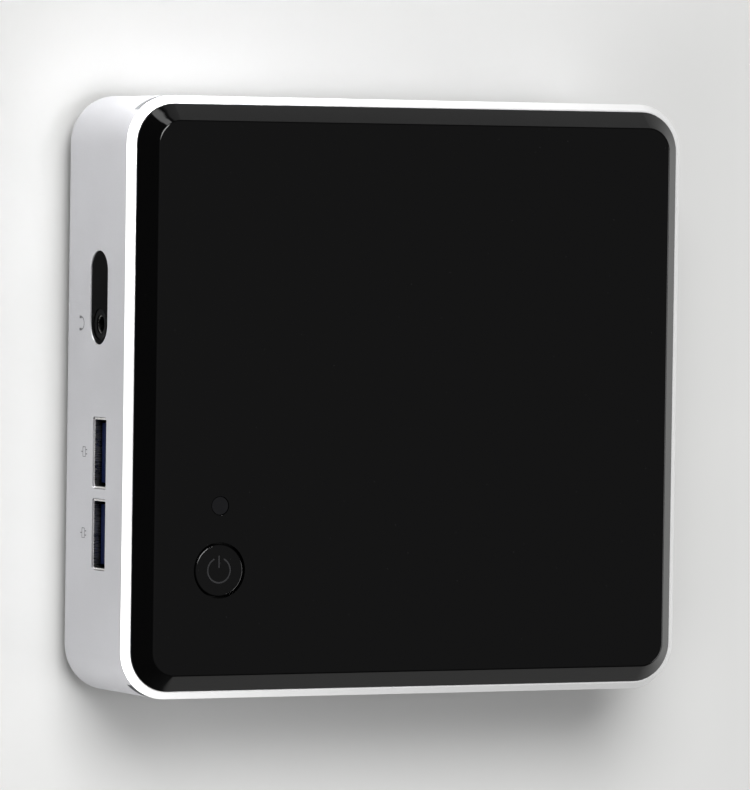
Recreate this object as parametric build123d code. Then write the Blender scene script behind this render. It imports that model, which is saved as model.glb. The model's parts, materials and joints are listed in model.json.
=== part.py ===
"""A palm-size desktop computer: aluminium band, gloss lid, screwed base cover and everything between.

Frame: millimetres, origin on the surface it stands on, under the middle of the case.
+Z is up through the lid, -Y is the front with the headphone jack and two USB ports, and +X is to
the right of somebody who faces the front. Every function makes one piece and returns it in place.
"""

import os
from build123d import *

# ---------------------------------------------------------------- driving dimensions
WIDTH = 112.0            # side to side, X
DEPTH = 116.6            # front to back, Y
HEIGHT = 34.5            # surface to the top of the lid
CORNER = 9.0             # outer corner radius in plan
BAND_LOW = 4.0           # bottom edge of the aluminium band
RIM = 31.2               # top edge of the aluminium band
WALL = 1.8               # band wall
RIM_CHAMFER = 1.2        # bright cut edge round the lid
RIM_LAND = 1.45          # what shows of the band's wall round the lid
SLOT_LOW, SLOT_TOP = RIM - 3.8, RIM - 1.7   # vent slot along each side
LID_GAP = 0.1            # gap round the lid in its rebate
BEVEL = 3.1              # 45 degree bevel round the lid
SKIN = 1.8               # lid thickness
SLIP = 0.05              # clearance of one piece inside another

# levels inside
PLATE_LOW = 3.2          # underside of the base cover
PLATE_TOP = 4.4
BOARD_LOW = 14.4         # motherboard
BOARD_TOP = 16.0
COOL_LOW = 17.3          # copper plate on the processor
PIPE_Z = 19.5            # middle of the heat pipe
FAN_LOW = 20.55          # blower housing
FAN_TOP = 29.5
FRAME_LOW = 5.6          # inner frame
FRAME_TOP = 29.4
LID_SEAT = RIM - 1.5     # rebate that the lid sits in
LID_INNER = HEIGHT - SKIN

# places in plan
FOOT_AT = [(sx * 44.0, sy * 46.0) for sy in (-1, 1) for sx in (-1, 1)]
FOOT_NAMES = ["front_left", "front_right", "rear_left", "rear_right"]
BOARD_POST_AT = [(sx * 47.3, sy * 30.0) for sy in (-1, 1) for sx in (-1, 1)]
LID_BOSS_AT = [(sx * 42.0, sy * 48.0) for sy in (-1, 1) for sx in (-1, 1)]
VESA_AT = [(-46.0, 0.0), (46.0, 0.0)]
COOLER_SCREW_AT = [(-27.0, -14.0), (25.0, -14.0), (25.0, 20.0)]
BUTTON_AT = (31.9, -40.4)
LED_AT = (19.9, -40.4)
MARK_RADIUS = 2.3        # middle of the power symbol's ring
FAN_AT = (0.0, 2.0)
BOARD = 101.6

# front face
PILL_AT, PILL_LONG, PILL_HIGH = (-18.3, 18.4), 17.6, 7.7
JACK_X = PILL_AT[0] + PILL_LONG / 2 - PILL_HIGH / 2
USB_FRONT_X = (10.65, 25.85)
USB_Z = 19.4

# rear face
USB_REAR_X = (-23.0, -38.6)
LAN_X, LAN_Z = -4.2, 17.3
DISPLAY_X, DISPLAY_Z = 12.0, 19.1
HDMI_X, HDMI_Z = 24.2, 18.2
POWER_X, POWER_Z = 37.2, 19.6
OPEN_X, OPEN_LOW, OPEN_TOP = 46.4, 6.4, 28.9   # rear opening of the band
GRILLE_LOW = 24.0        # the port plate ends here and the exhaust grille starts

# a USB-A socket
USB_WIDE, USB_HIGH, USB_SHEET, USB_DEEP = 13.2, 5.8, 0.35, 14.0

# blower, on the board's upper side
FAN_R = 26.0
HOUSING = (-31.0, 31.0, -28.0, 32.0)     # low x, high x, low y, high y

# memory and cards, under the board
DIMM_HALF = 33.8
DIMM_LOW_Z, DIMM_HIGH_Z = 6.7, 10.4      # middle of each module's board
DIMM_BAR = {"outer": (0.0, 6.0, 5.2, DIMM_LOW_Z), "inner": (-8.5, -2.5, 8.8, DIMM_HIGH_Z)}
LATCH_LONG = 20.0
CARD_Y = (8.5, 38.3)                     # both cards are this wide
CARD_HOLE = 2.8                          # middle of a card's screw hole from its free end and sides
SSD_Z, WIFI_Z = 6.9, 10.6
DRIVE_END, DRIVE_LONG = 24.2, 50.8
RADIO_END, RADIO_LONG = 17.0, 26.8

FRONT = -DEPTH / 2
BACK = DEPTH / 2
FACE_SET = 0.25          # how far the sockets sit back from the band's face


# ---------------------------------------------------------------- small helpers
def block(x0, x1, y0, y1, z0, z1):
    """A box between two corners."""
    size = Box(x1 - x0, y1 - y0, z1 - z0)
    return Pos((x0 + x1) / 2, (y0 + y1) / 2, (z0 + z1) / 2) * size


def slab(wide, deep, radius, z0, z1, x=0.0, y=0.0):
    """A flat block with rounded corners in plan."""
    return Pos(x, y, z0) * extrude(RectangleRounded(wide, deep, radius), z1 - z0)


def disc(radius, z0, z1, x=0.0, y=0.0):
    """An upright cylinder."""
    return Pos(x, y, (z0 + z1) / 2) * Cylinder(radius, z1 - z0)


def rod(radius, y0, y1, x, z):
    """A cylinder along Y."""
    return Pos(x, (y0 + y1) / 2, z) * Rot(90, 0, 0) * Cylinder(radius, y1 - y0)


def prism(outline, y0, y1, x, z):
    """An outline drawn in X and Z, run along Y from y0 to y1."""
    plane = Plane(origin=(x, y1, z), x_dir=(1, 0, 0), z_dir=(0, -1, 0))
    return extrude(plane * outline, y1 - y0)


def top_edges(part):
    return part.faces().sort_by(Axis.Z)[-1].outer_wire().edges()


def bottom_edges(part):
    return part.faces().sort_by(Axis.Z)[0].outer_wire().edges()


def screw(x, y, seat, length, head=2.5, head_high=1.5, shank=1.2, up=True):
    """A cross-head screw whose head rests on seat; up is the way its head points."""
    body = disc(head, 0, head_high) + disc(shank, -length, 0)
    body = fillet(top_edges(body), head_high * 0.45)
    for turn in (0, 90):
        body -= Rot(0, 0, turn) * block(-head * 0.6, head * 0.6, -0.3, 0.3, head_high * 0.35, head_high + 1)
    flip = Rot(0, 0, 0) if up else Rot(180, 0, 0)
    return Pos(x, y, seat) * flip * body


# ---------------------------------------------------------------- case
def side_slots(play=0.0):
    """The long slot under the rim on each side; both ends run a little way round the corners."""
    start, reach = WIDTH / 2 - 3.0 + play, DEPTH / 2 - 2.6 - play
    sides = (sorted((side * start, side * WIDTH)) for side in (-1, 1))
    return [block(*side, -reach, reach, SLOT_LOW + play, SLOT_TOP - play) for side in sides]


def side_vents():
    """The upright vents along both sides, through the vent strips and the inner frame."""
    pitch, wide, count = 3.0, 1.7, 31
    low, high = SLOT_LOW + 0.35, SLOT_TOP - 0.35
    found = []
    for k in range(count):
        y = (k - (count - 1) / 2) * pitch
        for side in (-1, 1):
            x0, x1 = sorted((side * (WIDTH / 2 - 5), side * WIDTH / 2))
            found.append(block(x0, x1, y - wide / 2, y + wide / 2, low, high))
    return found


def vent_strips():
    """Two black combs that snap into the slots of the band from inside, half a millimetre under its face."""
    ring = slab(WIDTH - 1.0, DEPTH - 1.0, CORNER - 0.5, SLOT_LOW, SLOT_TOP)
    ring -= slab(WIDTH - 2 * WALL, DEPTH - 2 * WALL, CORNER - WALL, SLOT_LOW - 1, SLOT_TOP + 1)
    return [(ring & side) - side_vents() for side in side_slots(SLIP)]


def lock_slot(x0, x1):
    """The security slot on the right side."""
    return Pos(x0, 40.0, 17.0) * extrude(Plane.YZ * RectangleRounded(7.0, 3.0, 0.8), x1 - x0)


def aluminium_band():
    band = slab(WIDTH, DEPTH, CORNER, BAND_LOW, RIM)
    band = chamfer(top_edges(band), RIM_CHAMFER)
    band = fillet(bottom_edges(band), 0.8)
    band -= slab(WIDTH - 2 * WALL, DEPTH - 2 * WALL, CORNER - WALL, BAND_LOW - 1, RIM + 1)
    band -= slab(WIDTH - 2 * RIM_LAND, DEPTH - 2 * RIM_LAND, CORNER - RIM_LAND, LID_SEAT, RIM + 1)
    band -= side_slots()
    band -= prism(SlotOverall(PILL_LONG, PILL_HIGH), FRONT - 1, FRONT + 4, *PILL_AT)
    for x in USB_FRONT_X:
        hole = RectangleRounded(USB_WIDE + 0.2, USB_HIGH + 0.2, 0.5)
        band -= prism(hole, FRONT - 1, FRONT + 4, x, USB_Z)
    middle = (OPEN_LOW + OPEN_TOP) / 2
    rear = RectangleRounded(2 * OPEN_X, OPEN_TOP - OPEN_LOW, 2.5)
    band -= prism(rear, BACK - 4, BACK + 1, 0, middle)
    band -= lock_slot(WIDTH / 2 - 4, WIDTH / 2 + 1)
    return band


def top_cover():
    wide, deep = WIDTH - 2 * (RIM_LAND + LID_GAP), DEPTH - 2 * (RIM_LAND + LID_GAP)
    radius = CORNER - RIM_LAND - LID_GAP
    lid = slab(wide, deep, radius, LID_SEAT + SLIP, HEIGHT)
    lid = chamfer(top_edges(lid), BEVEL)
    crest = top_edges(lid)
    lid = fillet(crest, 0.6)
    hollow = slab(wide - 2 * SKIN, deep - 2 * SKIN, radius - SKIN, LID_SEAT - 1, LID_INNER)
    lid -= chamfer(top_edges(hollow), BEVEL - 0.8)
    lid -= disc(5.25, LID_INNER - 1, HEIGHT + 1, *BUTTON_AT)
    lid -= disc(1.8, LID_INNER - 1, HEIGHT + 1, *LED_AT)
    for x, y in LID_BOSS_AT:
        boss = disc(2.6, FRAME_TOP + SLIP, LID_INNER + 0.2, x, y)
        lid += boss - disc(1.0, FRAME_TOP - 1, LID_INNER - 0.6, x, y)
    return lid


def top_shield():
    """Spring steel sheet under the lid, open over the blower's intake."""
    sheet = slab(98, 102, 4, LID_INNER - 0.55, LID_INNER - 0.15)
    sheet -= disc(21, HEIGHT - 5, HEIGHT, *FAN_AT)
    sheet -= disc(6.8, HEIGHT - 5, HEIGHT, *BUTTON_AT)
    sheet -= disc(2.8, HEIGHT - 5, HEIGHT, *LED_AT)
    for x, y in LID_BOSS_AT:
        sheet -= disc(3.2, HEIGHT - 5, HEIGHT, x, y)
    return sheet


def inner_frame():
    wide, deep, radius, thick = WIDTH - 2 * WALL - 0.2, DEPTH - 2 * WALL - 0.2, CORNER - WALL - 0.1, 1.4
    inside = (wide - 2 * thick, deep - 2 * thick, radius - thick)
    frame = slab(wide, deep, radius, FRAME_LOW, FRAME_TOP)
    frame -= slab(*inside, FRAME_LOW - 1, FRAME_TOP + 1)
    extras, posts = Part(), Part()
    for x, y in FOOT_AT:
        sx, sy = (1 if x > 0 else -1), (1 if y > 0 else -1)
        posts += disc(3.9, PLATE_TOP + 0.3, BOARD_LOW - 0.5, x, y)
        extras += block(*sorted((x, sx * wide / 2)), y - 1, y + 1, FRAME_LOW, BOARD_LOW - 2)
        extras += block(x - 1, x + 1, *sorted((y, sy * (deep / 2 - 1.6))), FRAME_LOW, BOARD_LOW - 2)
    for x, y in BOARD_POST_AT:
        sx = 1 if x > 0 else -1
        extras += disc(2.9, FRAME_LOW + 2, BOARD_LOW, x, y)
        extras += block(*sorted((x, sx * wide / 2)), y - 1.2, y + 1.2, FRAME_LOW + 2, BOARD_LOW - 1)
    for x, y in LID_BOSS_AT:
        sx, sy = (1 if x > 0 else -1), (1 if y > 0 else -1)
        along_x = sorted((x - sx * 4, sx * wide / 2))
        along_y = sorted((y - sy * 4, sy * (deep / 2 - 1.6)))
        extras += block(*along_x, *along_y, FRAME_TOP - 1.8, FRAME_TOP)
    frame += extras & slab(wide, deep, radius, FRAME_LOW, FRAME_TOP)
    frame += posts
    for x, y in FOOT_AT:
        frame -= disc(2.4, FRAME_LOW - 1, FRAME_LOW + 5.0, x, y)
        frame -= disc(3.0, PLATE_TOP, FRAME_LOW, x, y)
    for x, y in BOARD_POST_AT:
        frame -= disc(1.25, BOARD_LOW - 4.2, BOARD_LOW + 1, x, y)
    for x, y in LID_BOSS_AT:
        frame -= disc(1.25, FRAME_TOP - 3, FRAME_TOP + 1, x, y)
    frame -= block(-50.6, 50.6, BACK - 6.4, BACK, FRAME_LOW - 1, FRAME_TOP + 1)
    frame -= block(-30.5, -6.0, FRONT, FRONT + 5, PILL_AT[1] - 5.6, PILL_AT[1] + 5.6)
    frame -= block(2.5, 34.0, FRONT, FRONT + 5, USB_Z - 3.8, USB_Z + 3.8)
    frame -= side_vents()
    frame -= block(WIDTH / 2 - 4, WIDTH / 2, 36.0, 44.0, 14.8, 19.2)
    return frame


def base_cover():
    wide, deep, radius = WIDTH - 2 * WALL - 0.8, DEPTH - 2 * WALL - 0.8, CORNER - WALL - 0.4
    cover = slab(wide, deep, radius, PLATE_LOW, PLATE_TOP)
    cover = fillet(bottom_edges(cover), 0.7)
    lip_out, lip_thick = 3.4, 0.9
    lip = slab(wide - lip_out, deep - lip_out, radius - lip_out / 2, PLATE_TOP, PLATE_TOP + 2.2)
    inside = lip_out + 2 * lip_thick
    lip -= slab(wide - inside, deep - inside, radius - inside / 2, PLATE_TOP - 1, PLATE_TOP + 3)
    gap = 9.0
    for x, y in FOOT_AT:
        lip -= block(*sorted((x, x * 1.4)), y - gap / 2, y + gap / 2, PLATE_TOP, PLATE_TOP + 3)
        lip -= block(x - gap / 2, x + gap / 2, *sorted((y, y * 1.4)), PLATE_TOP, PLATE_TOP + 3)
    lip -= block(-52, 52, deep / 2 - 8, deep / 2, PLATE_TOP, PLATE_TOP + 3)
    cover += lip
    cover -= slab(62, 34, 3, PLATE_LOW - 1, PLATE_LOW + 0.35, 0, -8)
    for x, y in FOOT_AT:
        cover -= disc(1.9, PLATE_LOW - 1, PLATE_TOP + 1, x, y)
    for x, y in VESA_AT:
        cover -= disc(2.7, PLATE_LOW - 1, PLATE_TOP + 1, x, y)
    return cover


def feet():
    """Four moulded rubber rings under the cover, each round a captive screw."""
    one = disc(7.2, 0, PLATE_LOW)
    one = fillet(bottom_edges(one), 0.9)
    one -= disc(3.5, -1, PLATE_LOW + 1)
    return [Pos(x, y, 0) * one for x, y in FOOT_AT]


def cover_screw(x, y):
    """A captive screw and the clip that keeps it in the cover when it is undone."""
    long = 10.2 - PLATE_LOW
    body = screw(x, y, PLATE_LOW - SLIP, long, head=2.9, head_high=1.7, shank=1.5, up=False)
    clip = disc(2.7, PLATE_TOP + 0.1, PLATE_TOP + 0.7, x, y) - disc(1.5, 0, 12, x, y)
    return [body, clip]


def threaded_posts():
    """Brass inserts in the frame that the captive screws go into."""
    one = disc(2.4, FRAME_LOW, FRAME_LOW + 5.0) - disc(1.5 + SLIP, FRAME_LOW - 1, FRAME_LOW + 6)
    return [Pos(x, y, 0) * one for x, y in FOOT_AT]


def vesa_inserts():
    """Two threaded inserts that the screws of a monitor bracket go into."""
    neck = disc(2.7, PLATE_LOW, PLATE_TOP)
    one = neck + disc(3.6, PLATE_TOP, PLATE_TOP + 2.6) - disc(1.65, 0, 12)
    return [Pos(x, y, 0) * one for x, y in VESA_AT]


def rating_label():
    return slab(61, 33, 2.5, PLATE_LOW + 0.2, PLATE_LOW + 0.35, 0, -8)


def exhaust_grille():
    """The upper part of the rear panel, with a row of upright slots."""
    y1, y0 = BACK - 0.4, BACK - 2.4
    half, high = OPEN_X - 0.1, OPEN_TOP - 0.1 - GRILLE_LOW
    part = block(-half, half, y0, y1, GRILLE_LOW, OPEN_TOP - 0.1)
    corners = part.edges().filter_by(Axis.Y).group_by(Axis.Z)[-1]
    part = fillet(corners, 2.3)
    part += block(-half - 1.2, half + 1.2, y0 - 1.0, BACK - WALL - SLIP, GRILLE_LOW, OPEN_TOP + 0.3)
    slot = SlotOverall(high - 1.1, 1.5)
    pitch, count = 3.0, 29
    for k in range(count):
        x = (k - (count - 1) / 2) * pitch
        part -= prism(Rot(0, 0, 90) * slot, y0 - 2, y1 + 1, x, GRILLE_LOW + high / 2 + 0.1)
    return part


def vent_grilles():
    """The rear grille and the strip in each side, three snap-in mouldings."""
    return [exhaust_grille(), *vent_strips()]


def port_outlines():
    """Each rear socket's outline in the port plate, as (outline, x, z)."""
    usb = RectangleRounded(USB_WIDE + 0.2, USB_HIGH + 0.2, 0.5)
    found = [(usb, x, USB_Z) for x in USB_REAR_X]
    found.append((RectangleRounded(15.9, 11.9, 0.4), LAN_X, LAN_Z))
    found.append((display_outline(9.1, 6.2, 1.5), DISPLAY_X, DISPLAY_Z))
    found.append((hdmi_outline(12.2, 4.4, 1.1), HDMI_X, HDMI_Z))
    found.append((Circle(3.9), POWER_X, POWER_Z))
    return found


def port_plate():
    """The lower part of the rear panel, a thin plate with a hole for each socket."""
    half, behind = OPEN_X - 0.1, BACK - WALL - SLIP
    plate = block(-half, half, behind - 1.0, BACK - 0.4, OPEN_LOW + 0.1, GRILLE_LOW - SLIP)
    corners = plate.edges().filter_by(Axis.Y).group_by(Axis.Z)[0]
    plate = fillet(corners, 2.3)
    plate += block(-half - 1.2, half + 1.2, behind - 1.0, behind, OPEN_LOW - 0.4, GRILLE_LOW - SLIP)
    for outline, x, z in port_outlines():
        plate -= prism(outline, BACK - 5, BACK + 1, x, z)
    return plate


# ---------------------------------------------------------------- button and light
def power_button():
    cap = fillet(top_edges(disc(4.9, LID_INNER - 1.1, HEIGHT - 0.08)), 0.35)
    flange = disc(5.9, LID_INNER - 1.1, LID_INNER - 0.1)
    stem = disc(1.6, BOARD_TOP + 4.35, LID_INNER - 1.1)
    button = cap + flange + stem
    ring = disc(MARK_RADIUS + 0.18, HEIGHT - 0.3, HEIGHT) - disc(MARK_RADIUS - 0.18, HEIGHT - 1, HEIGHT + 1)
    ring -= block(-3, 0, -0.9, 0.9, HEIGHT - 1, HEIGHT + 1)
    mark = ring + block(-MARK_RADIUS - 0.5, -0.4, -0.18, 0.18, HEIGHT - 0.3, HEIGHT)
    button = Pos(*BUTTON_AT, 0) * button
    return button - Pos(*BUTTON_AT, 0) * mark


def power_switch():
    body = slab(6.2, 6.2, 0.5, BOARD_TOP, BOARD_TOP + 3.5, *BUTTON_AT)
    return body - disc(1.75, BOARD_TOP + 1.9, BOARD_TOP + 5, *BUTTON_AT)


def switch_plunger():
    return disc(1.7, BOARD_TOP + 2.9, BOARD_TOP + 4.3, *BUTTON_AT)


def drive_light():
    """The clear light guide between the board and the small window in the lid."""
    pipe = disc(1.65, LID_INNER - 1.1, HEIGHT - 0.08) + disc(2.4, LID_INNER - 1.1, LID_INNER - 0.1)
    pipe += disc(1.3, BOARD_TOP + 0.9, LID_INNER - 1.1)
    return Pos(*LED_AT, 0) * pipe


# ---------------------------------------------------------------- sockets
def usb_shell(x, face, way):
    """A folded steel USB-A shell at x; face is its mouth in Y, and way is the inward direction."""
    y0, y1 = sorted((face, face + way * USB_DEEP))
    shell = prism(RectangleRounded(USB_WIDE, USB_HIGH, 0.6), y0, y1, x, USB_Z)
    hollow = RectangleRounded(USB_WIDE - 2 * USB_SHEET, USB_HIGH - 2 * USB_SHEET, 0.35)
    return shell - prism(hollow, y0 - 1, y1 + 1, x, USB_Z)


def usb_tongue(x, face, way):
    """The blue insulator: a block at the back of the shell and the tongue that carries the contacts.

    The tongue is below the middle in the front sockets and above it in the rear ones.
    """
    half_w, half_h = USB_WIDE / 2 - USB_SHEET - SLIP, USB_HIGH / 2 - USB_SHEET - SLIP
    y0, y1 = sorted((face + way * 11.2, face + way * (USB_DEEP - 0.1)))
    back = block(x - half_w + 0.3, x + half_w - 0.3, y0, y1, USB_Z - half_h, USB_Z + half_h)
    t0, t1 = sorted((face + way * 1.2, face + way * 11.2))
    z0, z1 = sorted((USB_Z - way * 0.15, USB_Z - way * 1.99))
    return back + block(x - 5.55, x + 5.55, t0, t1, z0, z1)


def usb_places():
    """Each USB-A socket, as (x, mouth in Y, inward direction)."""
    return [(x, FRONT + FACE_SET, 1) for x in USB_FRONT_X] + [(x, BACK - 0.5, -1) for x in USB_REAR_X]


def usb_shells():
    return [usb_shell(*place) for place in usb_places()]


def usb_tongues():
    return [usb_tongue(*place) for place in usb_places()]


def jack_window():
    """The smoked pill in the front that covers the infrared receiver and carries the headphone jack."""
    face = FRONT + 0.2
    window = prism(SlotOverall(PILL_LONG - 0.1, PILL_HIGH - 0.1), face, FRONT + 2.2, *PILL_AT)
    window += prism(SlotOverall(PILL_LONG + 2.4, PILL_HIGH + 2.4), FRONT + WALL + SLIP, FRONT + 2.9, *PILL_AT)
    return window - rod(2.9, FRONT - 1, FRONT + 4, JACK_X, PILL_AT[1])


def audio_jack():
    """A 3.5 mm headphone socket; its round nose fills the hole in the window."""
    z = PILL_AT[1]
    body = block(JACK_X - 3.1, JACK_X + 3.1, FRONT + 3.1, FRONT + 15.5, BOARD_TOP + SLIP, z + 2.5)
    body += rod(2.85, FRONT + 0.35, FRONT + 3.2, JACK_X, z)
    return body - rod(1.8, FRONT, FRONT + 14.0, JACK_X, z)


def infrared_receiver():
    x, z = PILL_AT[0] - 5.0, PILL_AT[1]
    body = block(x - 2.8, x + 2.8, FRONT + 5.2, FRONT + 8.2, BOARD_TOP + SLIP, z + 3.2)
    ball = Pos(x, FRONT + 5.3, z) * Sphere(1.9)
    return body + (ball & block(x - 3, x + 3, FRONT + 3, FRONT + 5.4, z - 3, z + 3))


def lan_jack_shell():
    y1, y0 = BACK - 0.5, BACK - 16.5
    shell = prism(RectangleRounded(15.7, 11.7, 0.4), y0, y1, LAN_X, LAN_Z)
    return shell - prism(RectangleRounded(15.0, 11.0, 0.3), y0 + 0.4, y1 + 1, LAN_X, LAN_Z)


def lan_jack_insert():
    """The black network socket inside its shell, stepped for the plug's latch, with two light windows."""
    y1, y0 = BACK - 0.75, BACK - 16.0
    insert = prism(RectangleRounded(14.9, 10.9, 0.3), y0, y1, LAN_X, LAN_Z)
    insert -= prism(Rectangle(11.8, 6.9), y1 - 12.5, y1 + 1, LAN_X, LAN_Z + 1.3)
    insert -= prism(Rectangle(6.2, 2.2), y1 - 12.5, y1 + 1, LAN_X, LAN_Z - 3.1)
    insert -= prism(Rectangle(3.4, 1.4), y1 - 12.5, y1 + 1, LAN_X, LAN_Z - 4.7)
    for side in (-1, 1):
        insert -= prism(Rectangle(2.3, 2.0), y1 - 0.3, y1 + 1, LAN_X + side * 5.6, LAN_Z - 4.2)
    return insert


def lan_contacts():
    """Eight gold springs that slope down into the network socket."""
    y1 = BACK - 0.75
    spring = Pos(0, y1 - 7.0, 0) * Rot(8, 0, 0) * Box(0.45, 8.5, 0.3)
    return [Pos(LAN_X + (k - 3.5) * 1.15, 0, LAN_Z + 3.98) * spring for k in range(8)]


def display_outline(wide, high, cut):
    """A mini DisplayPort outline: a rectangle with its two upper corners cut off."""
    x, z = wide / 2, high / 2
    points = [(-x, -z), (x, -z), (x, z - cut), (x - cut, z), (cut - x, z), (-x, z - cut)]
    return make_face(Polyline(*points, close=True))


def display_port_shell():
    y1, y0 = BACK - 0.5, BACK - 11.0
    shell = prism(display_outline(8.9, 6.0, 1.5), y0, y1, DISPLAY_X, DISPLAY_Z)
    return shell - prism(display_outline(8.1, 5.2, 1.3), y0 - 1, y1 + 1, DISPLAY_X, DISPLAY_Z)


def display_port_tongue():
    y1, y0 = BACK - 1.6, BACK - 8.0
    tongue = block(DISPLAY_X - 2.9, DISPLAY_X + 2.9, y0, y1, DISPLAY_Z - 0.5, DISPLAY_Z + 0.4)
    back = prism(display_outline(8.0, 5.1, 1.3), BACK - 10.9, y0, DISPLAY_X, DISPLAY_Z)
    return tongue + back


def hdmi_outline(wide, high, cut):
    """A mini HDMI outline: wide at the top, with its two lower corners drawn in."""
    x, z = wide / 2, high / 2
    points = [(-x, z), (x, z), (x, -z + cut), (x - cut, -z), (cut - x, -z), (-x, -z + cut)]
    return make_face(Polyline(*points, close=True))


def hdmi_port_shell():
    y1, y0 = BACK - 0.5, BACK - 9.0
    shell = prism(hdmi_outline(12.0, 4.2, 1.1), y0, y1, HDMI_X, HDMI_Z)
    return shell - prism(hdmi_outline(11.2, 3.4, 0.9), y0 - 1, y1 + 1, HDMI_X, HDMI_Z)


def hdmi_port_tongue():
    y1, y0 = BACK - 1.5, BACK - 6.5
    tongue = block(HDMI_X - 4.1, HDMI_X + 4.1, y0, y1, HDMI_Z - 0.1, HDMI_Z + 0.6)
    back = prism(hdmi_outline(11.1, 3.3, 0.9), BACK - 8.9, y0, HDMI_X, HDMI_Z)
    return tongue + back


def power_jack():
    """The round DC input in a moulded block."""
    body = block(POWER_X - 4.2, POWER_X + 4.2, BACK - 14.5, BACK - 3.0, BOARD_TOP + SLIP, POWER_Z + 3.9)
    body += rod(3.8, BACK - 3.1, BACK - 0.5, POWER_X, POWER_Z)
    return body - rod(3.0, BACK - 11.0, BACK, POWER_X, POWER_Z)


def power_jack_pin():
    return fillet(rod(1.2, BACK - 11.0, BACK - 1.6, POWER_X, POWER_Z).edges().sort_by(Axis.Y)[-1], 0.5)


# ---------------------------------------------------------------- motherboard
def motherboard():
    board = slab(BOARD, BOARD, 3, BOARD_LOW, BOARD_TOP)
    for x, y in BOARD_POST_AT:
        board -= disc(1.4, BOARD_LOW - 1, BOARD_TOP + 1, x, y)
    for x, y in COOLER_SCREW_AT:
        board -= disc(1.3, BOARD_LOW - 1, BOARD_TOP + 1, x, y)
    board -= block(LAN_X - 8.2, LAN_X + 8.2, BACK - 17, BACK, BOARD_LOW - 1, BOARD_TOP + 1)
    return board


def processor():
    """The chip package and the two dies on it."""
    x, y = -6.0, 4.0
    low = BOARD_TOP + SLIP
    package = block(x - 20, x + 20, y - 12, y + 12, low, low + 0.7)
    dies = [block(x - 14, x + 1, y - 4.5, y + 4.5, low + 0.7, low + 1.2)]
    dies.append(block(x + 5, x + 11, y - 4, y + 4, low + 0.7, low + 1.2))
    return [package, *dies]


def board_parts():
    """Coils, capacitors and chips on the upper side of the board, clear of the cooler."""
    low = BOARD_TOP + SLIP
    coils = [fillet(block(-47, -40.4, y, y + 6.6, low, low + 3.2).edges().filter_by(Axis.Z), 0.8)
             for y in (-16, -7.5, 1, 9.5)]
    cans = [disc(1.9, low, low + 4.6, -36.5, y) for y in (-14, -8, -2, 4, 10)]
    chips = [block(34.5, 44.5, 2, 12, low, low + 1.0), block(35, 41, 18, 24, low, low + 0.9)]
    chips.append(block(-46, -39, -44, -37, low, low + 0.9))
    header = block(36.4, 42.4, -16.5, -13.3, low, low + 3.0)
    return [*coils, *cans, *chips, header]


def inner_screws():
    """The identical small screws of the board, the copper plate and the blower."""
    x0, x1, y0, _ = HOUSING
    places = [(x, y, BOARD_TOP + SLIP) for x, y in BOARD_POST_AT]
    places += [(x, y, COOL_LOW + 1.2 + SLIP) for x, y in COOLER_SCREW_AT]
    places += [(x, y0 + 3, FAN_TOP + SLIP) for x in (x0 + 3, x1 - 3)]
    return [screw(*place, 4.0, head=2.2, head_high=1.1) for place in places]


def lid_screws():
    seat = FRAME_TOP - 1.8 - SLIP
    return [screw(x, y, seat, 4.3, head=2.2, head_high=1.2, shank=0.95, up=False) for x, y in LID_BOSS_AT]


# ---------------------------------------------------------------- cooling
def heat_plate():
    plate = slab(58, 40, 2, COOL_LOW, COOL_LOW + 1.2, -1, 3)
    for x, y in COOLER_SCREW_AT:
        plate -= disc(1.3, COOL_LOW - 1, COOL_LOW + 2, x, y)
    return plate


def heat_pipe():
    """The flat copper pipe from the plate to the fins."""
    path = [(16, 4, PIPE_Z), (-24, 4, PIPE_Z), (-24, 36.7, PIPE_Z), (27, 36.7, PIPE_Z)]
    line = FilletPolyline(*path, radius=8)
    start = Plane(origin=line @ 0, x_dir=(0, 1, 0), z_dir=line % 0)
    return sweep(start * RectangleRounded(7, 1.9, 0.9), line)


def fin_stack():
    """Thin fins across the blower's outlet, on one common foot."""
    y0, y1, low, high = 33.0, 40.4, PIPE_Z + 1.0, FAN_TOP - 0.2
    stack = block(-27, 27, y0, y1, low, low + 0.6)
    count, pitch = 28, 1.95
    for k in range(count):
        x = (k - (count - 1) / 2) * pitch
        stack += block(x - 0.2, x + 0.2, y0, y1, low + 0.5, high)
    return stack


def fan_housing():
    """The blower's moulded scroll, open at the back and at the bottom of the motor."""
    x0, x1, y0, y1 = HOUSING
    shell = slab(x1 - x0, y1 - y0, 6, FAN_LOW, FAN_TOP - 0.6, (x0 + x1) / 2, (y0 + y1) / 2)
    floor = FAN_LOW + 1.0
    shell -= disc(FAN_R + 2.0, floor, FAN_TOP + 1, *FAN_AT)
    shell -= block(-26, 28, FAN_AT[1] + 6, y1 + 1, floor, FAN_TOP + 1)
    for x, y in ((x0 + 3, y0 + 3), (x1 - 3, y0 + 3)):
        shell -= disc(1.3, FAN_TOP - 6, FAN_TOP + 1, x, y)
    return shell


def fan_cover():
    x0, x1, y0, y1 = HOUSING
    plate = slab(x1 - x0, y1 - y0, 6, FAN_TOP - 0.55, FAN_TOP, (x0 + x1) / 2, (y0 + y1) / 2)
    plate -= disc(19.0, FAN_TOP - 2, FAN_TOP + 1, *FAN_AT)
    for x, y in ((x0 + 3, y0 + 3), (x1 - 3, y0 + 3)):
        plate -= disc(1.3, FAN_TOP - 6, FAN_TOP + 1, x, y)
    return plate


def fan_motor():
    """The fixed coils and the bearing post under the rotor's hub."""
    base = disc(8.6, FAN_LOW + 1.0, FAN_LOW + 5.0) - disc(4.4, FAN_LOW + 2.6, FAN_LOW + 6)
    return Pos(*FAN_AT, 0) * (base + disc(1.6, FAN_LOW + 1.0, FAN_LOW + 6.2))


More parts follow.
